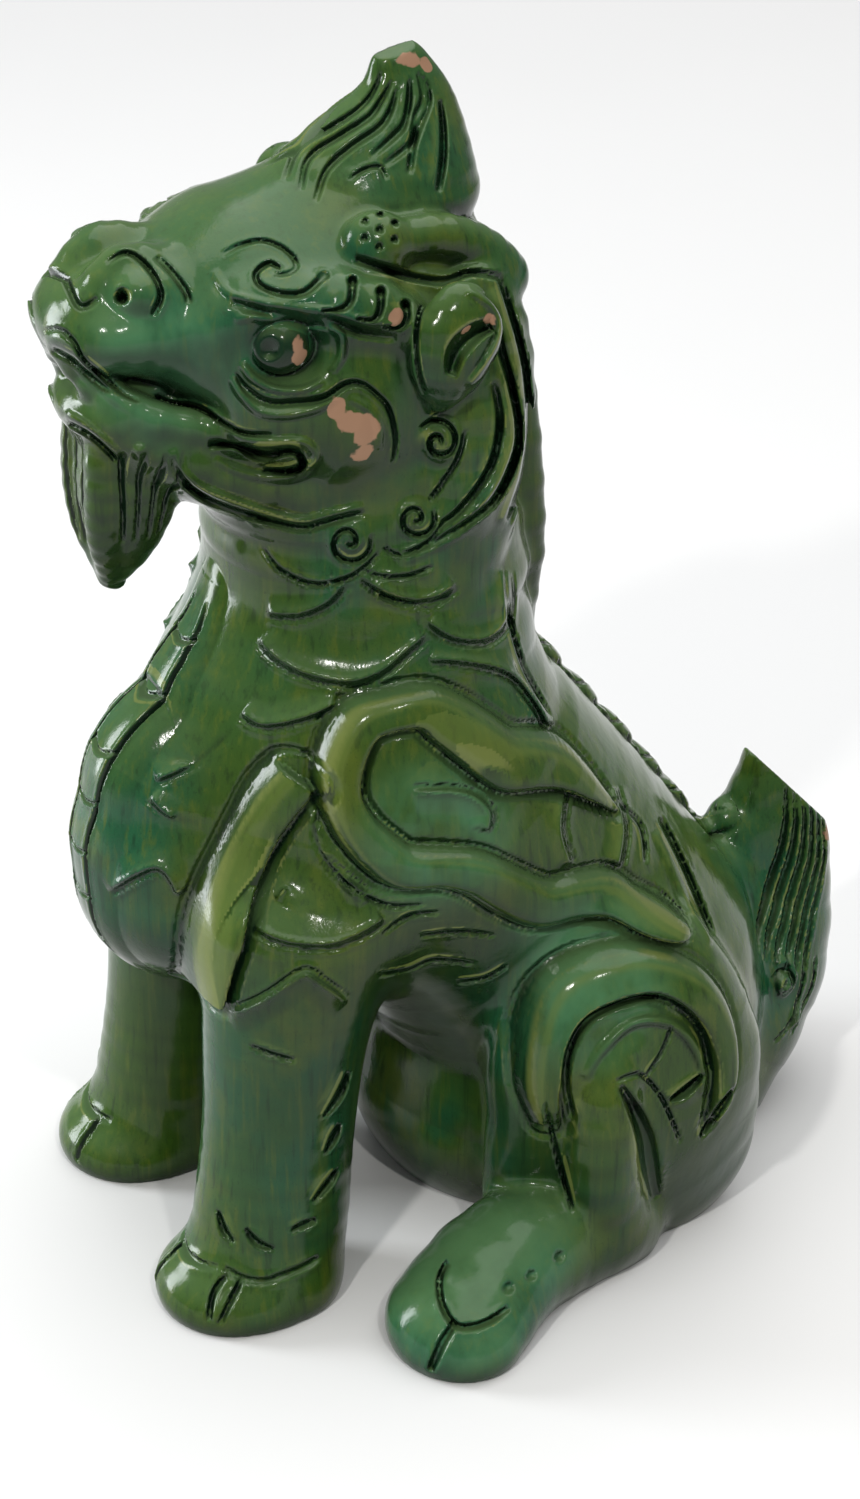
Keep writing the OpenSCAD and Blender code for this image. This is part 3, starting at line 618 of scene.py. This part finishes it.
def dress_tail():
    for k in range(6):
        cut([[16, 220 + 4 * k, 160 - 3 * k], [24, 216 + 4.5 * k, 134 - 3 * k],
             [28, 208 + 4 * k, 112 - 4 * k], [34, 194 + 5 * k, 88 - 5 * k]],
            [1.2, 2.2, 2.4, 1.6], 2.2, "side", reach=26)
    mark(spiral([37, 208, 72], 9, 1.2, 40, "side"), 2.6, 2.6, "side", reach=24)
    mark([38, 208, 70], 9, 2.6, "side", piece="tail_curls", reach=24)
    mark([38, 216, 50], 7, 2.2, "side", piece="tail_curls", reach=24)
    cut(spiral([38, 208, 70], 7, 1.3, 40, "side"), 1.5, 2.2, "side", reach=24)
    cut([[38, 222, 70], [40, 214, 52], [44, 200, 44]], 1.6, 2.0, "side", reach=24)
    cut([[38, 230, 74], [36, 226, 58], [42, 212, 42]], 1.6, 2.0, "side", reach=24)


for shape in (lay_up_body, lay_up_head, lay_up_hair, lay_up_legs, lay_up_tail,
              dress_brow, dress_eye, dress_mouth, dress_nose, dress_ear, dress_horn, dress_crest,
              dress_beard, dress_mane, dress_curls, dress_neck, dress_chest, dress_shoulder, dress_flank,
              dress_front_leg, dress_front_paw, dress_haunch, dress_shank, dress_hind_foot,
              dress_back, dress_tail, break_tips):
    shape()
MIDDLE_STRIPS = ("chest_plates", "spine_plates", "tail_curls")
PIECES = sorted({m.piece for m in MASSES})
for strip in sorted({c.piece for c in MARKS if c.piece}):
    if strip in MIDDLE_STRIPS:
        PIECES.append(strip)
    else:
        PIECES += ["left_" + strip, "right_" + strip]


# ---------------------------------------------------------------- the field of the whole animal
def clay(p, piece=None):
    """Signed distance to the animal before and after its marks, how much nearer each point is
    to the other pieces' masses than to piece's own, and how far it lies outside piece's and
    the other pieces' laid-on strips. piece is on the left or in the middle."""
    n = len(p)
    host, finished, own, other, strip_own, strip_other = (np.full(n, FAR) for _ in range(6))
    half = np.column_stack([np.abs(p[:, 0]), p[:, 1:]])
    low, high = p.min(0), p.max(0)
    half_low, half_high = half.min(0), half.max(0)
    for late in (False, True):
        for m in MASSES:
            if m.late != late or (m.low > high).any() or (m.high < low).any():
                continue
            i = np.flatnonzero(((p > m.low) & (p < m.high)).all(1))
            if not len(i):
                continue
            d = m.distance(p[i])
            host[i] = smooth_min(host[i], d, m.blend)
            if late:
                finished[i] = smooth_min(finished[i], d, m.blend)
            if m.piece == piece:
                own[i] = np.minimum(own[i], d)
            else:
                other[i] = np.minimum(other[i], d)
        if not late:
            finished = host.copy()
        for c in MARKS:
            if c.late != late or (c.box_low > half_high).any() or (c.box_high < half_low).any():
                continue
            i = c.touches(half)
            i = i[np.abs(host[i]) < MARGIN]
            if not len(i):
                continue
            height, edge = c.act(half[i])
            finished[i] -= height
            if c.piece is None:
                continue
            if piece and c.piece == base_name(piece):
                if piece.startswith("left_"):
                    edge = np.where(p[i, 0] > 0, edge, FAR)
                strip_own[i] = np.minimum(strip_own[i], edge)
            else:
                strip_other[i] = np.minimum(strip_other[i], edge)
    for point, normal, radius in BREAKS:
        r = p - point
        near = (r * r).sum(1) < radius ** 2
        if near.any():
            finished = np.where(near, np.maximum(finished, r @ normal), finished)
    ground = -p[:, 2]
    return np.maximum(host, ground), np.maximum(finished, ground), own - other, strip_own, strip_other


def is_strip(piece):
    return not any(m.piece == piece for m in MASSES)


def solid_of(piece):
    """The closed solid of one piece, as a function of points."""
    strip = is_strip(piece)

    def solid(p):
        host, finished, share, strip_own, strip_other = clay(p, piece)
        if strip:
            d = np.maximum(finished + DIVE * np.maximum(strip_own - SEAM, 0), strip_own - LAP)
            return np.maximum(d, -(np.maximum(host, finished) + SHELL))
        under = np.clip(-strip_other * DIVE, 0, SHELL / 2)
        top = np.where(strip_other < 0, np.maximum(host, finished) + under, finished)
        return np.maximum(top + DIVE * np.maximum(share - SEAM, 0), share - LAP)

    return solid


def extent_of(piece):
    """Corners of the space that one piece takes up."""
    room = 5
    boxes = [(m.low + MARGIN - room, m.high - MARGIN + room) for m in MASSES if m.piece == piece]
    if is_strip(piece):
        boxes = [(c.box_low, c.box_high) for c in MARKS if c.piece == base_name(piece)]
    low = np.min([box[0] for box in boxes], 0)
    high = np.max([box[1] for box in boxes], 0)
    if piece.startswith("left_"):
        low[0] = max(low[0], -2)
    low[2] = max(low[2], -3)
    return low, high


# ---------------------------------------------------------------- from field to mesh
def sample(solid, low, high, step):
    """The solid on a dense grid, worked out only in cells near its surface."""
    cell = step * COARSE
    cells = np.ceil((high - low) / cell).astype(int) + 1
    axes = [low[k] + cell * np.arange(cells[k] + 1) for k in range(3)]
    corner = np.stack(np.meshgrid(*axes, indexing="ij"), -1)
    d = in_chunks(solid, corner.reshape(-1, 3)).reshape(corner.shape[:3])
    lowest, highest = d[:-1, :-1, :-1].copy(), d[:-1, :-1, :-1].copy()
    for k in range(1, 8):
        part = d[k & 1:cells[0] + (k & 1), k >> 1 & 1:cells[1] + (k >> 1 & 1),
                 k >> 2:cells[2] + (k >> 2)]
        lowest, highest = np.minimum(lowest, part), np.maximum(highest, part)
    busy = (lowest < cell * 0.9) & (highest > -cell * 0.9)
    grid = np.repeat(np.repeat(np.repeat(np.sign(lowest), COARSE, 0), COARSE, 1), COARSE, 2)
    grid = (grid * BAND * step).astype(np.float32)
    inner = np.stack(np.meshgrid(*[np.arange(COARSE)] * 3, indexing="ij"), -1).reshape(-1, 3)
    where = np.argwhere(busy)
    block = where // 5
    where = where[np.lexsort((block[:, 2], block[:, 1], block[:, 0]))]
    index = (where[:, None, :] * COARSE + inner[None]).reshape(-1, 3)
    value = in_chunks(solid, low + index * step)
    grid[tuple(index.T)] = np.clip(value, -BAND * step, BAND * step)
    return grid


def in_chunks(f, p):
    """f of the points, a compact lot at a time, on several threads."""
    lots = [p[i:i + CHUNK] for i in range(0, len(p), CHUNK)]
    return np.concatenate(list(WORKERS.map(f, lots)))


def surface(grid, low, step, whole):
    """Points and quads of the grid's zero surface, with the other half added when whole."""
    if whole:
        grid = np.concatenate([grid[::-1], grid])
        low = np.array([-low[0] - (len(grid) / 2 - 1) * step, low[1], low[2]])
    vdb = openvdb.FloatGrid(BAND * step)
    vdb.copyFromArray(np.ascontiguousarray(grid))
    points, quads = vdb.convertToQuads(0.0)
    return low + points.astype(float) * step, quads


def normals_of(points, quads):
    """The mesh's own direction at each point."""
    a, b, c, d = (points[quads[:, k]] for k in range(4))
    face = np.cross(c - a, d - b)
    normal = np.zeros_like(points)
    for k in range(4):
        np.add.at(normal, quads[:, k], face)
    return normal / (np.linalg.norm(normal, axis=1, keepdims=True) + 1e-12)


def finished_at(p):
    """Signed distance to the whole finished animal."""
    return clay(p)[1]


def slope_at(p, step=0.45):
    """Gradient of the finished field, from four points round each one."""
    corners = np.array([[1, -1, -1], [-1, -1, 1], [-1, 1, -1], [1, 1, 1]], float)
    return sum(in_chunks(finished_at, p + step * c)[:, None] * c for c in corners) / (4 * step)


def sculpt(piece):
    """Points, quads, directions and hollows of a piece on the left or in the middle.

    The directions are those of the whole animal where it shows, so that pieces that share one
    surface are shaded as one. A hollow is where the clay closes in on a point just outside."""
    low, high = extent_of(piece)
    step = STEP * (FINE if piece in FINE_PIECES else 1)
    middle = not piece.startswith("left_")
    if middle:
        low[0] = step / 2
    grid = sample(solid_of(piece), low, high, step)
    points, quads = surface(grid, low, step, middle)
    rough = normals_of(points, quads)
    slope = slope_at(points)
    steep = np.linalg.norm(slope, axis=1)
    slope /= steep[:, None] + 1e-9
    shown = (slope * rough).sum(1)[:, None] > 0.3
    normal = np.where(shown, slope, rough)
    sunken = {}
    for name, reach in PROBES.items():
        rise = in_chunks(finished_at, points + normal * reach) / (reach * np.clip(steep, 0.7, 2))
        sunken[name] = np.clip(1 - rise, -1, 1)
    return points, quads, normal, sunken


def chipped(points):
    """How far inside a chip of the glaze each point is."""
    worn = np.full(len(points), -1.0)
    for x, y, z, radius in CHIPS:
        r = points - [x, y, z]
        worn = np.maximum(worn, 1 - np.sqrt((r * r).sum(1)) / radius)
    return worn


def make_mesh(piece, points, quads, normal, sunken):
    """The piece in the frame, in metres, with its glaze."""
    mesh = bpy.data.meshes.new(piece)
    place = (points - [0, FOOT_MID_Y, 0]) * MM
    mesh.from_pydata(place.tolist(), [], quads.tolist())
    mesh.polygons.foreach_set("use_smooth", np.ones(len(mesh.polygons), bool))
    sunken = dict(sunken, chip=chipped(points))
    for name, value in sunken.items():
        layer = mesh.attributes.new(name, "FLOAT", "POINT")
        layer.data.foreach_set("value", value.astype(np.float32))
    mesh.normals_split_custom_set_from_vertices(normal.tolist())
    mesh.update()
    ob = bpy.data.objects.new(piece + "_clay", mesh)
    bpy.context.scene.collection.objects.link(ob)
    finish = SLOT_OF.get(base_name(piece), "body_glaze")
    mesh.materials.append(GLAZE[finish])
    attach(ob, "root")
    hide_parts(piece)


def build(piece):
    """One piece, and its mirror image on the right if it is one of a pair."""
    points, quads, normal, sunken = sculpt(piece)
    make_mesh(piece, points, quads, normal, sunken)
    if piece.startswith("left_"):
        flip = [-1, 1, 1]
        make_mesh("right_" + base_name(piece), points * flip, quads[:, ::-1], normal * flip, sunken)


# ---------------------------------------------------------------- materials
class Nodes:
    """A material's node tree, with short calls for the nodes used here."""

    def __init__(self, name):
        self.material = bpy.data.materials.new(name)
        self.material.use_nodes = True
        self.tree = self.material.node_tree
        self.tree.nodes.clear()
        self.coord = self.add("ShaderNodeTexCoord").outputs["Object"]

    def add(self, kind, **inputs):
        node = self.tree.nodes.new(kind)
        for key, value in inputs.items():
            self.put(node.inputs[key.replace("_", " ")], value)
        return node

    def put(self, socket, value):
        if isinstance(value, bpy.types.NodeSocket):
            self.tree.links.new(value, socket)
        else:
            socket.default_value = value

    def math(self, operation, a, b=0.0, clamp=False):
        node = self.tree.nodes.new("ShaderNodeMath")
        node.operation = operation
        node.use_clamp = clamp
        self.put(node.inputs[0], a)
        self.put(node.inputs[1], b)
        return node.outputs[0]

    def mix(self, factor, a, b):
        node = self.tree.nodes.new("ShaderNodeMix")
        node.data_type = "RGBA"
        self.put(node.inputs[0], factor)
        self.put(node.inputs[6], a)
        self.put(node.inputs[7], b)
        return node.outputs[2]

    def noise(self, scale, detail=3.0, stretch=(1, 1, 1), rough=0.5):
        mapping = self.add("ShaderNodeMapping", Vector=self.coord)
        mapping.inputs["Scale"].default_value = stretch
        node = self.add("ShaderNodeTexNoise", Vector=mapping.outputs[0], Scale=scale,
                        Detail=detail, Roughness=rough)
        return node.outputs["Fac"]

    def ramp(self, value, low, high):
        node = self.tree.nodes.new("ShaderNodeMapRange")
        node.interpolation_type = "SMOOTHSTEP"
        self.put(node.inputs["Value"], value)
        node.inputs["From Min"].default_value = low
        node.inputs["From Max"].default_value = high
        return node.outputs[0]

    def near(self, place, radius):
        """1 at a place in the frame, fading to 0 at the radius."""
        node = self.tree.nodes.new("ShaderNodeVectorMath")
        node.operation = "DISTANCE"
        self.put(node.inputs[0], self.coord)
        self.put(node.inputs[1], place)
        return self.ramp(node.outputs["Value"], radius, 0.4 * radius)

    def attribute(self, name):
        node = self.tree.nodes.new("ShaderNodeAttribute")
        node.attribute_name = name
        return node.outputs["Fac"]


def glaze_material(name, shade=1.0):
    """Lead glaze over buff clay, with painted light and shade: lighter and yellower on ridges and groove
    edges, partly thinner glaze and wear, partly painted highlight; painted light on upward faces and a
    painted teal sheen in patches; darker in grooves and hollows, partly glaze that collected thick,
    partly painted shade; painted shade underneath; gone where it has chipped."""
    n = Nodes(name)
    blotch = n.noise(24, 4, (1, 1, 0.7), 0.6)
    cloud = n.noise(9, 3, (1, 1, 0.8), 0.6)
    streak = n.noise(260, 3, (1, 1, 0.06), 0.6)
    grain = n.noise(900, 2)
    recess = n.attribute("recess")
    hollow = n.attribute("hollow")
    teal = tuple(shade * c for c in (0.012, 0.078, 0.032)) + (1,)
    leaf = tuple(shade * c for c in (0.032, 0.074, 0.009)) + (1,)
    olive = tuple(shade * c for c in (0.082, 0.112, 0.012)) + (1,)
    # near-black glaze colour: real dark streaks and grain, and also painted shade in hollows and
    # underneath
    deep = (0.0035, 0.0120, 0.0050, 1)
    # lighter teal-green of the painted sheen
    painted_sheen = (0.060, 0.190, 0.090, 1)
    lit_top = (0.090, 0.165, 0.060, 1)
    thinned_and_highlit = (0.120, 0.165, 0.035, 1)
    rubbed_and_glint = (0.16, 0.19, 0.050, 1)
    dark_clay, pale_clay = (0.26, 0.135, 0.075, 1), (0.36, 0.22, 0.14, 1)
    color = n.mix(n.ramp(cloud, 0.46, 0.66), leaf, teal)
    color = n.mix(n.math("MULTIPLY", n.ramp(blotch, 0.48, 0.68), 0.6), color, olive)
    color = n.mix(n.math("MULTIPLY", n.ramp(streak, 0.50, 0.72), 0.5), color, olive)
    color = n.mix(n.math("MULTIPLY", n.ramp(streak, 0.46, 0.30), 0.45), color, deep)
    color = n.mix(n.math("MULTIPLY", n.ramp(grain, 0.60, 0.75), 0.35), color, deep)
    # painted reflection: lighter teal-green patches on the hind foot top, haunch, muzzle and shoulder
    for place, radius in SHEEN_PATCHES:
        sheen = n.math("MULTIPLY", n.near(place, radius), n.ramp(blotch, 0.30, 0.62))
        color = n.mix(n.math("MULTIPLY", sheen, 0.8), color, painted_sheen)
    # darker in grooves and hollows: partly glaze that collected thick there, partly painted shade
    pooled_and_shaded = n.math("ADD", n.math("MULTIPLY", n.ramp(recess, 0.05, 0.85), 0.62),
                    n.math("MULTIPLY", n.ramp(hollow, 0.12, 0.80), 0.50), True)
    color = n.mix(pooled_and_shaded, color, deep)
    facing = n.add("ShaderNodeSeparateXYZ", Vector=n.add("ShaderNodeNewGeometry").outputs["Normal"])
    # painted light: faces that turn upward are mixed towards a lighter green
    upward = n.ramp(facing.outputs["Z"], 0.25, 0.95)
    # painted shade: faces that turn downward are darkened towards near-black
    under = n.ramp(facing.outputs["Z"], 0.35, -0.40)
    color = n.mix(n.math("MULTIPLY", upward, 0.55), color, lit_top)
    color = n.mix(n.math("MULTIPLY", under, 0.75), color, deep)
    # lighter and yellower where the surface bulges: partly thinner glaze on ridges, partly painted
    # highlight
    thin_glaze_and_highlight = n.math("MULTIPLY", n.ramp(hollow, -0.05, -0.60), 0.45)
    color = n.mix(thin_glaze_and_highlight, color, thinned_and_highlit)
    # lighter on sharp groove edges and burrs: partly worn glaze, partly painted glints
    edge = n.math("MULTIPLY", n.ramp(recess, -0.18, -0.50), 0.65)
    color = n.mix(edge, color, rubbed_and_glint)
    frayed = n.math("ADD", n.attribute("chip"), n.math("MULTIPLY", n.noise(75, 5), 2.6))
    chip = n.ramp(frayed, 1.52, 1.68)
    color = n.mix(chip, color, n.mix(blotch, dark_clay, pale_clay))
    dimple = n.math("ADD", n.math("MULTIPLY", n.noise(110, 4, (1, 1, 0.6)), 1.0),
                    n.math("MULTIPLY", grain, 0.15))
    bump = n.add("ShaderNodeBump", Height=dimple, Strength=0.22, Distance=0.0012)
    shader = n.add("ShaderNodeBsdfPrincipled", Base_Color=color, Normal=bump.outputs[0])
    n.put(shader.inputs["Roughness"], n.math("ADD", n.math("MULTIPLY", chip, 0.5), 0.15))
    shader.inputs["IOR"].default_value = 1.42
    shader.inputs["Specular IOR Level"].default_value = 0.36
    out = n.tree.nodes.new("ShaderNodeOutputMaterial")
    n.tree.links.new(shader.outputs[0], out.inputs[0])
    return n.material


# ---------------------------------------------------------------- studio
def plain_material(name, color, roughness=0.9):
    n = Nodes(name)
    tone = n.mix(n.noise(3.0), color, tuple(0.97 * c for c in color[:3]) + (1,))
    shader = n.add("ShaderNodeBsdfPrincipled", Base_Color=tone, Roughness=roughness)
    out = n.tree.nodes.new("ShaderNodeOutputMaterial")
    n.tree.links.new(shader.outputs[0], out.inputs[0])
    return n.material


def floor():
    size = 6.0
    mesh = bpy.data.meshes.new("floor")
    mesh.from_pydata([(-size, -size, 0), (size, -size, 0), (size, size, 0), (-size, size, 0)],
                     [], [(0, 1, 2, 3)])
    ob = bpy.data.objects.new("floor", mesh)
    bpy.context.scene.collection.objects.link(ob)
    mesh.materials.append(plain_material("floor_paper", (0.84, 0.84, 0.84, 1)))


def camera():
    azimuth = math.radians(65)      # from the statue's face round to its left
    pitch = math.radians(28.9)      # down
    data = bpy.data.cameras.new("camera")
    data.sensor_fit = "VERTICAL"
    data.sensor_height = 36
    data.lens = 85.55
    data.clip_end = 30
    ob = bpy.data.objects.new("camera", data)
    away = 1250
    aim = (100, -FOOT_MID_Y)
    ob.location = [(aim[0] + math.sin(azimuth) * away) * MM,
                   (aim[1] - math.cos(azimuth) * away) * MM, 0.962]
    ob.rotation_euler = (math.pi / 2 - pitch, 0, azimuth)
    bpy.context.scene.collection.objects.link(ob)
    bpy.context.scene.camera = ob


def area_light(name, place, aim, size, power, color=(1, 1, 1)):
    data = bpy.data.lights.new(name, "AREA")
    data.shape = "RECTANGLE"
    data.size, data.size_y = size
    data.energy = power
    data.color = color
    ob = bpy.data.objects.new(name, data)
    ob.location = place
    direction = Vector(aim) - Vector(place)
    ob.rotation_euler = direction.to_track_quat("-Z", "Y").to_euler()
    bpy.context.scene.collection.objects.link(ob)


def lights():
    area_light("overhead", (-0.8, 0.9, 4.0), (-0.5, 0.5, 0), (5.0, 5.0), 152)
    area_light("window", (-1.1, -1.5, 0.55), (0, 0, 0.25), (0.55, 1.3), 34, (0.93, 0.97, 1))
    area_light("key", (1.4, -1.6, 2.0), (0, 0, 0.3), (0.14, 0.14), 22, (1, 0.98, 0.94))
    area_light("spot", (2.0, -0.3, 2.2), (0, 0, 0.3), (0.10, 0.10), 13, (1, 0.98, 0.94))
    world = bpy.data.worlds.new("studio")
    world.use_nodes = True
    background = world.node_tree.nodes["Background"]
    background.inputs[0].default_value = (1, 1, 1, 1)
    background.inputs[1].default_value = 0.28
    bpy.context.scene.world = world
    bpy.context.scene.view_settings.view_transform = "Standard"


# the tongue takes glaze darkened as painted shade inside the mouth; the eye's is its own dark glaze
SLOT_OF = {"brow": "relief_glaze", "ear": "relief_glaze", "horn": "relief_glaze",
           "cheek_curls": "relief_glaze", "chest_plates": "relief_glaze",
           "spine_plates": "relief_glaze", "shoulder_flame": "relief_glaze",
           "haunch_ring": "relief_glaze", "tail_curls": "relief_glaze",
           "tongue": "dark_glaze", "eye": "dark_glaze", "upper_teeth": "worn_glaze"}
# places with a painted teal sheen that stands in for reflection, each with its radius, in metres
SHEEN_PATCHES = [((side * x, y, z), radius) for side in (1, -1) for x, y, z, radius in
        ((0.135, -0.062, 0.030, 0.065), (0.110, 0.000, 0.150, 0.050), (0.030, -0.150, 0.430, 0.045),
         (0.085, -0.060, 0.225, 0.045))]
GLAZE = {"body_glaze": glaze_material("body_glaze"),
         "relief_glaze": glaze_material("relief_glaze"),
         # darkened glaze: the eye's own dark glaze, and painted shade on the tongue inside the mouth
         "dark_glaze": glaze_material("dark_glaze", 0.3),
         "worn_glaze": glaze_material("worn_glaze")}
for piece in PIECES:
    if not piece.startswith("right_"):
        build(piece)

floor()
camera()
lights()
